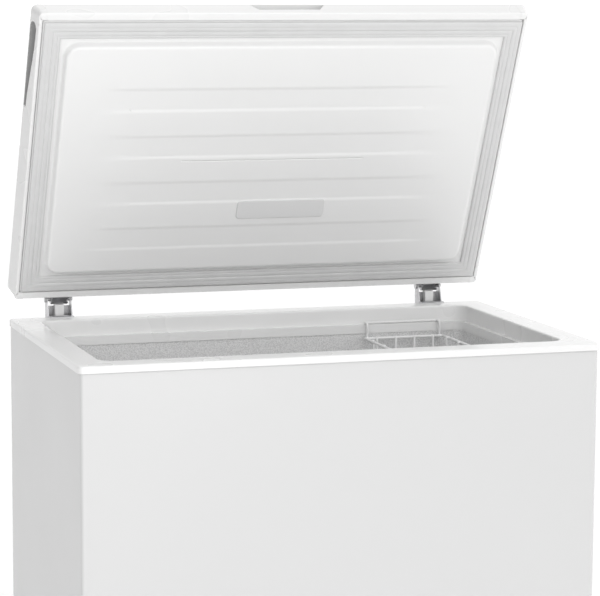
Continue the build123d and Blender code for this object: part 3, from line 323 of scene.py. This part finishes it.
# ---- lid liner: flange, drafted wall, plateau with four soft bands ----
LID_SIZE = (996.0, 624.0)
LID_MIDDLE = -2.0
PLATEAU = 797.0
PLATEAU_RINGS = 110
LINER_SHEET = 1.8
BAND_ROWS = [-136.0 + 102 * band for band in range(4)]
BAND_HALF = 23.0
BAND_DEEP = 1.5
BAND_EDGE = 6.0
BAND_FADE = (290.0, 385.0)
LINER_PROFILE = [  # inset from the lid's edge, height, corner radius
    (15.8, 817.0, 1.0),
    (18.4, 817.0, 1.0),
    (18.7, 812.6, 1.0),
    (19.4, 812.0, 1.0),
    (48, 812.0, 13.0),
    (50, 812.0, 13.0),
    (57.5, 812.0, 28.0),
    (59.6, 811.8, 27.5),
    (61.2, 811.0, 27),
    (62.4, 809.6, 26.5),
    (63.2, 807.6, 26),
    (64.4, 804.0, 25),
    (65.5, 800.6, 24),
    (66.2, 798.9, 23),
    (67.2, 797.8, 22),
    (68.6, 797.2, 21),
    (70.6, 797.0, 20),
]


def band_rise(x, y):
    """How far the plateau is pressed back at a point, by the deepest band there."""
    fade = 1 - smooth_step(abs(x), *BAND_FADE)
    rise = 0.0
    for row in BAND_ROWS:
        gap = abs(y - row)
        edge = smooth_step(gap, BAND_HALF - BAND_EDGE / 2, BAND_HALF + BAND_EDGE / 2)
        rise = max(rise, 1 - edge)
    return BAND_DEEP * fade * rise


def lid_liner():
    rings = []
    for inset, z, corner in LINER_PROFILE:
        ring = rounded_ring(LID_SIZE[0] - 2 * inset, LID_SIZE[1] - 2 * inset, corner, LID_MIDDLE)
        rings.append([(x, y, z) for x, y in ring])
    first_inset, _, first_corner = LINER_PROFILE[-1]
    reach = LID_SIZE[1] / 2 - first_inset
    for step in range(1, PLATEAU_RINGS + 1):
        inset = first_inset + reach * step / PLATEAU_RINGS
        corner = max(first_corner - (inset - first_inset) * 0.4, 0.5)
        ring = rounded_ring(
            LID_SIZE[0] - 2 * inset, max(LID_SIZE[1] - 2 * inset, 0.02), corner, LID_MIDDLE
        )
        rings.append([(x, y, PLATEAU + band_rise(x, y)) for x, y in ring])
    verts, faces = loft(rings)
    made = piece("lid_liner_form", verts, faces, "white_liner", "lid", ["lid_liner"], OPENED)
    shell = made.modifiers.new("sheet", "SOLIDIFY")
    shell.thickness = LINER_SHEET * MM
    shell.offset = -1.0


lid_liner()

# ---- lid seal: bellows profile with mitred, welded corners ----
SEAL_STEPS = 24  # points along each side of the seal
SEAL_PROFILE = [  # inset from the lid's edge, height
    (19.0, 811.9), (18.9, 807.0), (19.3, 805.2), (20.4, 804.2), (22.4, 803.7), (26.0, 803.5),
    (28.4, 803.5), (28.9, 803.8), (29.4, 803.5), (33.6, 803.6), (35.6, 803.9), (36.6, 804.6),
    (37.2, 805.2), (37.8, 804.8), (38.8, 804.5), (41.0, 804.3), (43.8, 804.4), (45.4, 804.9),
    (46.1, 805.5), (46.8, 805.2), (48.4, 805.1), (50.4, 805.3), (51.5, 806.2), (52.0, 808.2),
    (52.0, 811.9),
]


def lid_seal():
    rings = []
    for inset, z in SEAL_PROFILE:
        half_x, half_y = LID_SIZE[0] / 2 - inset, LID_SIZE[1] / 2 - inset
        corners = [(half_x, -half_y), (half_x, half_y), (-half_x, half_y), (-half_x, -half_y)]
        ring = []
        for number, (x, y) in enumerate(corners):
            next_x, next_y = corners[(number + 1) % 4]
            for step in range(SEAL_STEPS):
                share = step / SEAL_STEPS
                ring.append((x + (next_x - x) * share, LID_MIDDLE + y + (next_y - y) * share, z))
        rings.append(ring)
    rings.append(rings[0])
    verts, faces = loft(rings)
    piece("lid_seal", verts, faces, "grey_seal", "lid", ["lid_gasket"], OPENED, 50)


lid_seal()

# ---- basket: coated wires with the coating built up at each weld ----
BASKET_X = 308.0
FRAME_Z = 744.0
FRAME_HALF = (85.0, 232.0)
WIRE = 2.5
FRAME_WIRE = 3.0
FLOOR_Z = 538.5
CROSS_X = [BASKET_X + offset for offset in (-61.5, -20.5, 20.5, 61.5)]
LONG_Y = [66.0 * number for number in range(-3, 4)]
SINK = 5.2  # frame centre to the middle of a wire welded inside it
HOOP_Z = 644.0
HANGER_Z = 773.8
HANGER_Y = 252.0


def rounded_route(points, radius, closed=False, steps=7):
    """A polyline in millimetres with each corner turned into an arc."""
    vectors = [Vector(point) for point in points]
    count = len(vectors)
    route = []
    for index, here in enumerate(vectors):
        if not closed and index in (0, count - 1):
            route.append(here)
            continue
        before, after = vectors[index - 1], vectors[(index + 1) % count]
        into, out = (before - here).normalized(), (after - here).normalized()
        start, end = here + into * radius, here + out * radius
        for step in range(steps + 1):
            share = step / steps
            route.append(
                (1 - share) ** 2 * start + 2 * share * (1 - share) * here + share**2 * end
            )
    return route


def wire_mesh(store, route, radius, closed=False, sides=14):
    """A round wire along a route, with its ends domed when it is open."""
    count = len(route)
    normal = None
    rings = []
    for index, here in enumerate(route):
        before = route[index - 1] if index or closed else here
        after = route[(index + 1) % count] if index < count - 1 or closed else here
        tangent = (after - before).normalized()
        if normal is None:
            helper = Vector((0, 0, 1)) if abs(tangent.z) < 0.9 else Vector((1, 0, 0))
            normal = tangent.cross(helper).normalized()
        normal = (normal - tangent * normal.dot(tangent)).normalized()
        side = tangent.cross(normal)
        circle = [2 * pi * step / sides for step in range(sides)]
        rings.append(
            (here, tangent, [normal * cos(turn) + side * sin(turn) for turn in circle])
        )
    tubes = []
    if not closed:
        here, tangent, spokes = rings[0]
        for share in (0.98, 0.85, 0.55):
            reach = radius * 0.8 * share
            width = radius * (1 - share**2) ** 0.5
            tubes.append([here - tangent * reach + spoke * width for spoke in spokes])
    tubes += [[here + spoke * radius for spoke in spokes] for here, tangent, spokes in rings]
    if not closed:
        here, tangent, spokes = rings[-1]
        for share in (0.55, 0.85, 0.98):
            reach = radius * 0.8 * share
            width = radius * (1 - share**2) ** 0.5
            tubes.append([here + tangent * reach + spoke * width for spoke in spokes])
    if closed:
        tubes.append(tubes[0])
    verts, faces = loft(tubes)
    if not closed:
        cap_ends(verts, faces, sides)
    add_mesh(store, verts, faces)


def weld(store, centre, size, sides=14, rows=8):
    """A smooth drop of coating round a weld."""
    rings = []
    for row in range(rows + 1):
        tilt = -pi / 2 + pi * row / rows
        width = max(cos(tilt), 0.02)
        rings.append(
            [
                Vector(centre)
                + Vector(
                    (
                        size[0] * width * cos(2 * pi * step / sides),
                        size[1] * width * sin(2 * pi * step / sides),
                        size[2] * sin(tilt),
                    )
                )
                for step in range(sides)
            ]
        )
    verts, faces = loft(rings)
    cap_ends(verts, faces, sides)
    add_mesh(store, verts, faces)


def loop_route(z, half_x, half_y, corner):
    corners = [(1, -1), (1, 1), (-1, 1), (-1, -1)]
    points = [(BASKET_X + half_x * sx, half_y * sy, z) for sx, sy in corners]
    return rounded_route(points, corner, closed=True)


def basket():
    stores = [([], []) for _ in range(5)]
    frame_store, cross_store, long_store, hoop_store, hanger_store = stores
    half_x, half_y = FRAME_HALF
    wire_mesh(frame_store, loop_route(FRAME_Z, half_x, half_y, 6), FRAME_WIRE, True, 18)
    wire_mesh(hoop_store, loop_route(HOOP_Z, half_x - 0.5, half_y - 0.5, 12), WIRE, True)
    reach_y = half_y - SINK
    for x in CROSS_X:
        points = [(x, -reach_y, FRAME_Z + 1), (x, -reach_y, FLOOR_Z)]
        points += [(x, reach_y, FLOOR_Z), (x, reach_y, FRAME_Z + 1)]
        wire_mesh(cross_store, rounded_route(points, 14), WIRE)
        for sign in (-1, 1):
            weld(frame_store, (x, sign * (half_y - 2.6), FRAME_Z - 0.6), (3.9, 3.4, 3.2))
            weld(hoop_store, (x, sign * (half_y - 2.9), HOOP_Z), (3.3, 3.0, 3.3))
    reach_x = half_x - SINK
    top = FLOOR_Z + 2 * WIRE - 0.3
    for y in LONG_Y:
        points = [(BASKET_X - reach_x, y, FRAME_Z + 1), (BASKET_X - reach_x, y, top)]
        points += [(BASKET_X + reach_x, y, top), (BASKET_X + reach_x, y, FRAME_Z + 1)]
        wire_mesh(long_store, rounded_route(points, 12), WIRE)
        for sign in (-1, 1):
            frame_x = BASKET_X + sign * (half_x - 2.6)
            hoop_x = BASKET_X + sign * (half_x - 2.9)
            weld(frame_store, (frame_x, y, FRAME_Z - 0.6), (3.4, 3.9, 3.2))
            weld(hoop_store, (hoop_x, y, HOOP_Z), (3.0, 3.3, 3.3))
        for x in CROSS_X:
            weld(long_store, (x, y, FLOOR_Z + WIRE - 0.1), (3.3, 3.3, 3.0))
    for sign in (-1, 1):
        inner_y, outer_y = sign * (half_y + SINK), sign * HANGER_Y
        left, right = BASKET_X - half_x + 6, BASKET_X + half_x - 6
        points = [(left, inner_y, FRAME_Z - 4), (left, inner_y, HANGER_Z)]
        points += [(left, outer_y, HANGER_Z), (right, outer_y, HANGER_Z)]
        points += [(right, inner_y, HANGER_Z), (right, inner_y, FRAME_Z - 4)]
        wire_mesh(hanger_store, rounded_route(points, 6), WIRE)
        for x in (left, right):
            weld(hanger_store, (x, sign * (half_y + 2.7), FRAME_Z - 0.5), (3.3, 3.2, 3.8))
    for name, store in (
        ("basket_frame", frame_store),
        ("basket_cross_wires", cross_store),
        ("basket_long_wires", long_store),
        ("basket_hoop", hoop_store),
        ("basket_hangers", hanger_store),
    ):
        piece(name + "_coated", *store, "coated_wire", "basket", [name], angle=60)


basket()

# ---- lid edge mouldings: drafted sides with a grip recess, and the corner caps ----
LID_HALF = (LID_SIZE[0] / 2, LID_SIZE[1] / 2)
CAP_LEG = 24.0
SEAM = 0.3
SIDE_DRAFT = 8.0
GRIP_FRONT, GRIP_REAR = -286.0, -106.0
GRIP_LOW, GRIP_HIGH = 819.6, 839.6
GRIP_FLOOR = 11.6  # inset of the recess's floor
EDGE_LOW, EDGE_TOP = 811.0, 845.0  # the side face, between its rounded edges
DRAFT_RUN = 30.0  # height over which the side's draft fades out
EDGE_ROWS = 34
CAP_CORNER = 12.0


def draft_share(z):
    """How much of the side's draft is left at a height: all at the lower edge, none on top."""
    return max(0.0, 1 - (z - EDGE_LOW) / DRAFT_RUN)


def edge_section(sideways):
    """Inset and height of the moulding's section; sideways is 1 on the side faces."""
    draft = SIDE_DRAFT * sideways
    section = [(15.0, 816.5), (15.0, 809.6), (14.7, 808.9), (14.0, 808.6)]
    section += [(2.4 + draft, 808.6), (1.0 + draft, 808.9), (0.2 + draft, 809.8)]
    for step in range(EDGE_ROWS + 1):
        z = EDGE_LOW + (EDGE_TOP - EDGE_LOW) * step / EDGE_ROWS
        section.append((draft * draft_share(z), z))
    section += [(0.3, 846.9), (1.3, 848.7), (3.1, 849.7), (5.0, 850.0), (10.0, 850.0)]
    return section + [(10.0, 847.6), (12.6, 847.0), (12.6, 816.5)]


def edge_solid(name, path, node):
    """Sweep the section along path points (x, y, outward x, outward y), ends closed."""
    rings = []
    for x, y, out_x, out_y in path:
        ring = []
        for inset, z in edge_section(abs(out_x)):
            ring.append(grip_point(x - out_x * inset, y - out_y * inset, z, inset, out_x, y))
        rings.append(ring)
    verts, faces = loft(rings)
    cap_ends(verts, faces, len(rings[0]))
    return piece(name, verts, faces, "white_plastic", "lid", [node], OPENED, 38)


def grip_point(x, y, z, inset, out_x, along):
    """Press a point of a side face into the grip recess, round in front and tapering behind."""
    if abs(out_x) < 0.99 or inset > 9.0:
        return (x, y, z)
    low = GRIP_LOW + 15.0 * smooth_step(along, GRIP_FRONT + 20, GRIP_REAR)
    middle = (GRIP_LOW + GRIP_HIGH) / 2
    round_front = GRIP_FRONT + 9 - (81 - min((z - middle) ** 2, 81)) ** 0.5
    depth = smooth_step(z, low - 1.2, low + 0.6)
    depth *= 1 - smooth_step(z, GRIP_HIGH - 0.6, GRIP_HIGH + 1)
    depth *= smooth_step(along, round_front - 0.8, round_front + 1.0)
    depth *= 1 - smooth_step(along, GRIP_REAR - 1.0, GRIP_REAR + 0.8)
    inward = -1 if out_x > 0 else 1
    return (x + inward * depth * max(GRIP_FLOOR - inset, 0.0), y, z)


def cap_path(sign_x, sign_y):
    """Round one corner of the lid, from its side leg to its front or rear leg."""
    half_x, half_y = LID_HALF
    centre_x = sign_x * (half_x - CAP_CORNER)
    centre_y = LID_MIDDLE + sign_y * (half_y - CAP_CORNER)
    path = [(sign_x * half_x, LID_MIDDLE + sign_y * (half_y - CAP_LEG), sign_x, 0.0)]
    for step in range(13):
        turn = step / 12 * pi / 2
        out_x, out_y = sign_x * cos(turn), sign_y * sin(turn)
        path.append(
            (centre_x + CAP_CORNER * out_x, centre_y + CAP_CORNER * out_y, out_x, out_y)
        )
    path.append((sign_x * (half_x - CAP_LEG), LID_MIDDLE + sign_y * half_y, 0.0, sign_y))
    return path


def shade_recess(moulding):
    """Give the grip recess's faces a darker, rougher material: painted shade standing in for the shadow inside the
    recess.
    """
    moulding.data.materials.append(SHADERS["recess"].material)
    closed = OPENED.inverted()
    for face in moulding.data.polygons:
        middle = closed @ face.center / MM
        inside = LID_HALF[0] - abs(middle.x)
        within = GRIP_FRONT < middle.y < GRIP_REAR and GRIP_LOW - 1 < middle.z < GRIP_HIGH + 1
        draft = SIDE_DRAFT * draft_share(middle.z)
        # faces inside the grip recess get the painted shade
        if within and draft + 1.0 < inside < 12.3:
            face.material_index = 1


def lid_sides():
    start = LID_MIDDLE - LID_HALF[1] + CAP_LEG + SEAM
    end = LID_MIDDLE + LID_HALF[1] - CAP_LEG - SEAM
    stops = sorted(
        {start, end, *[GRIP_FRONT - 3 + step for step in range(20)]}
        | {GRIP_REAR - 4 + step * 0.7 for step in range(10)}
        | {start + (end - start) * step / 70 for step in range(71)}
    )
    stops = [stop for stop in stops if start <= stop <= end]
    for side, sign in (("left", -1), ("right", 1)):
        path = [(sign * LID_HALF[0], y, sign, 0.0) for y in stops]
        shade_recess(edge_solid(f"lid_{side}_moulding", path, f"lid_{side}_rail"))
    for sign_x, sign_y, name in ((-1, -1, "fl"), (1, -1, "fr"), (-1, 1, "rl"), (1, 1, "rr")):
        edge_solid(f"lid_cap_{name}", cap_path(sign_x, sign_y), "lid_corner_caps")


lid_sides()


# ---- hinges: lips over the rim, and springs ----
HINGE_X = 395.0
SPRING_Y = 327.0
SPRING_WIRE = 1.0
SPRING_COIL = 6.5
SPRING_TURNS = 18.0
SPRING_STEPS = 20  # points in each turn


def hinge_lips():
    """Folded steel lips that hook each hinge over the rim's rear edge, with a raised rib."""
    for side, name in ((-HINGE_X, "left"), (HINGE_X, "right")):
        rows = []
        for step in range(33):
            across = -25 + 50 * step / 32
            rib = 0.5 * smooth_step(21 - abs(across), 0, 3)
            line = [(312.4, 798.0), (312.4, 803.4), (311.8, 804.6), (310.6, 805.0 + rib)]
            line += [(300.0, 805.0 + rib), (297.6, 804.7), (296.6, 803.9), (296.4, 803.15)]
            line += [(309.9, 803.15), (310.15, 802.6), (310.15, 798.0)]
            rows.append([(side + across, y, z) for y, z in line])
        verts, faces = loft(rows)
        cap_ends(verts, faces, len(rows[0]))
        piece(f"hinge_lip_{name}", verts, faces, "zinc_steel", "cabinet")


hinge_lips()


def hinge_springs():
    """Coils with closed ends, spanning the height of the CAD springs."""
    low, high = [corner[2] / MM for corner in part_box("hinge_springs")]
    wire, turns = SPRING_WIRE, SPRING_TURNS
    dead = 2.05 * wire
    store = ([], [])
    for side in (-HINGE_X, HINGE_X):
        route = []
        steps = int(turns * SPRING_STEPS)
        for step in range(steps + 1):
            turned = turns * step / steps
            share = min(max((turned - 1.0) / (turns - 2.0), 0), 1)
            rise = low + wire + dead * min(turned, 1.0)
            rise += (high - low - 2 * wire - 2 * dead) * share
            rise += dead * max(turned - turns + 1.0, 0)
            angle = 2 * pi * turned
            across, back = SPRING_COIL * cos(angle), SPRING_COIL * sin(angle)
            route.append(Vector((side + across, SPRING_Y + back, rise)))
        wire_mesh(store, route, wire, sides=10)
    spring = piece("hinge_spring_coils", *store, "spring_steel", "cabinet", ["hinge_springs"])
    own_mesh(spring)


hinge_springs()


# ---- carried-over CAD nodes ----
def smooth_by_angle():
    """Modifier group that welds a CAD mesh's split vertices and smooths its soft edges."""
    group = bpy.data.node_groups.new("soft_edges", "GeometryNodeTree")
    group.interface.new_socket("Geometry", in_out="INPUT", socket_type="NodeSocketGeometry")
    group.interface.new_socket("Geometry", in_out="OUTPUT", socket_type="NodeSocketGeometry")
    nodes = group.nodes
    entry, leave = nodes.new("NodeGroupInput"), nodes.new("NodeGroupOutput")
    merge = nodes.new("GeometryNodeMergeByDistance")
    merge.inputs["Distance"].default_value = 0.000004
    faces = nodes.new("GeometryNodeSetShadeSmooth")
    faces.domain = "FACE"
    edges = nodes.new("GeometryNodeSetShadeSmooth")
    edges.domain = "EDGE"
    edges.inputs["Shade Smooth"].default_value = False
    bend = nodes.new("GeometryNodeInputMeshEdgeAngle")
    compare = nodes.new("FunctionNodeCompare")
    compare.inputs[1].default_value = radians(28)
    links = group.links
    links.new(entry.outputs[0], merge.inputs["Geometry"])
    links.new(merge.outputs["Geometry"], faces.inputs["Geometry"])
    links.new(faces.outputs["Geometry"], edges.inputs["Geometry"])
    links.new(bend.outputs["Unsigned Angle"], compare.inputs[0])
    links.new(compare.outputs["Result"], edges.inputs["Selection"])
    links.new(edges.outputs["Geometry"], leave.inputs[0])
    return group


SOFT_EDGES = smooth_by_angle()
for node_name, node in frame["nodes"].items():
    node.data.materials.clear()
    node.data.materials.append(SHADERS[SLOT_OF[node_name]].material)
    modifier = node.modifiers.new("soft_edges", "NODES")
    modifier.node_group = SOFT_EDGES


# ---- stage, light and camera ----
def stage_floor():
    turns = [turn * pi / 48 for turn in range(96)]
    rings = []
    for radius in (0.01, 4000, 9000, 16000):
        rings.append([(radius * cos(turn), radius * sin(turn), 0) for turn in turns])
    verts, faces = loft(rings)
    mesh = bpy.data.meshes.new("floor")
    mesh.from_pydata([metres(vert) for vert in verts], [], faces)
    made = bpy.data.objects.new("floor", mesh)
    bpy.context.scene.collection.objects.link(made)
    paint = Shader("floor", (0.98, 0.98, 0.98), 0.7)
    paint.set("Emission Color", (1, 1, 1, 1))
    paint.set("Emission Strength", 0.12)
    paint.tint(paint.noise(0.8, 2), 0.995, 1.0)
    mesh.materials.append(paint.material)


stage_floor()


def studio_world():
    world = bpy.data.worlds.new("studio")
    bpy.context.scene.world = world
    world.use_nodes = True
    tree = world.node_tree
    back = tree.nodes["Background"]
    coords = tree.nodes.new("ShaderNodeTexCoord")
    split = tree.nodes.new("ShaderNodeSeparateXYZ")
    ramp = tree.nodes.new("ShaderNodeMapRange")
    ramp.interpolation_type = "SMOOTHSTEP"
    for key, value in zip(RANGE_SOCKETS, (-1.0, -0.1, 0.0, 1.12)):
        ramp.inputs[key].default_value = value
    tree.links.new(coords.outputs["Generated"], split.inputs["Vector"])
    tree.links.new(split.outputs["X"], ramp.inputs["Value"])
    tree.links.new(ramp.outputs["Result"], back.inputs["Strength"])
    back.inputs["Color"].default_value = (1, 1, 1, 1)


studio_world()


def area_light(name, place, target, size, energy):
    data = bpy.data.lights.new(name, "AREA")
    data.shape = "RECTANGLE"
    data.size, data.size_y = size
    data.energy = energy
    lamp = bpy.data.objects.new(name, data)
    bpy.context.scene.collection.objects.link(lamp)
    lamp.location = place
    aim = Vector(target) - Vector(place)
    lamp.rotation_euler = aim.to_track_quat("-Z", "Y").to_euler()


area_light("key", (-0.4, -4.8, 0.6), (0, 0, 0.95), (3.0, 1.4), 17)
area_light("left", (-1.9, -1.8, 1.8), (-0.2, 0.0, 0.7), (0.9, 0.9), 8)
area_light("opening", (0.3, -2.4, 2.5), (0.0, 0.15, 0.75), (1.4, 0.8), 8)

CAMERA_PLACE = (-1.456, -4.513, 1.506)
CAMERA_TURN = (17.96, 7.68, -0.32)  # to the right of +Y, down, and roll
CAMERA_LENS = 149.2


def camera():
    data = bpy.data.cameras.new("camera")
    data.lens = CAMERA_LENS
    data.sensor_width = 36.0
    data.sensor_fit = "HORIZONTAL"
    data.clip_start, data.clip_end = 0.1, 200
    made = bpy.data.objects.new("camera", data)
    bpy.context.scene.collection.objects.link(made)
    yaw, pitch, roll = [radians(value) for value in CAMERA_TURN]
    forward = Vector((sin(yaw) * cos(pitch), cos(yaw) * cos(pitch), -sin(pitch)))
    right = Vector((cos(yaw), -sin(yaw), 0))
    down = forward.cross(right)
    tilted = cos(roll) * right + sin(roll) * down
    upward = sin(roll) * right - cos(roll) * down
    turn = Matrix((tilted, upward, -forward)).transposed().to_4x4()
    made.matrix_world = Matrix.Translation(CAMERA_PLACE) @ turn
    bpy.context.scene.camera = made


camera()
bpy.context.scene.view_settings.view_transform = "Standard"
